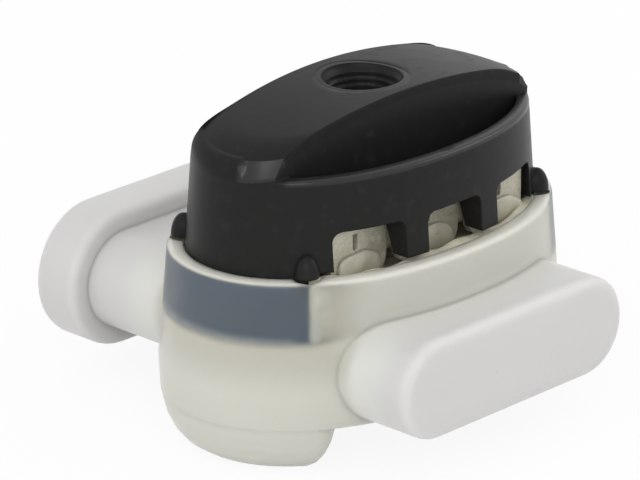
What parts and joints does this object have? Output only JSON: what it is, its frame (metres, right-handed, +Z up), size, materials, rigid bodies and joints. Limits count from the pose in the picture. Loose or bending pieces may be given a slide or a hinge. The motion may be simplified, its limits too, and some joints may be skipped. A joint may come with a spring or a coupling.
{
  "type": "quick splice connector",
  "caption": "Gel-filled splice connector: translucent oval body with round wire ports in a hood, and a black push-in cap that carries a forked contact.",
  "frame": {"origin": "middle of the whole part's box, on the surface that its two feet stand on", "axes": "+Z up, the way the cap stands out of the body; +Y along the wires, towards the hood with the port mouths; +X along the oval and the row of ports"},
  "size_m": [0.0318, 0.033, 0.0233],
  "materials": {
    "frosted_plastic": "translucent frosted polypropylene, satin",
    "black_plastic": "black moulded plastic, semi-gloss",
    "tinned_brass": "tinned brass strip, coated with gel",
    "gel": "soft cloudy sealing gel"
  },
  "bodies": {
    "housing": {"body": "frosted_plastic"},
    "press_cap": {"cap": "black_plastic", "contact_element": "tinned_brass", "sealing_gel": "gel"}
  },
  "joints": [
    {"name": "cap_press", "type": "slide", "parent": "housing", "child": "press_cap", "axis": [0, 0, -1], "range_m": [0, 0.0065]}
  ]
}
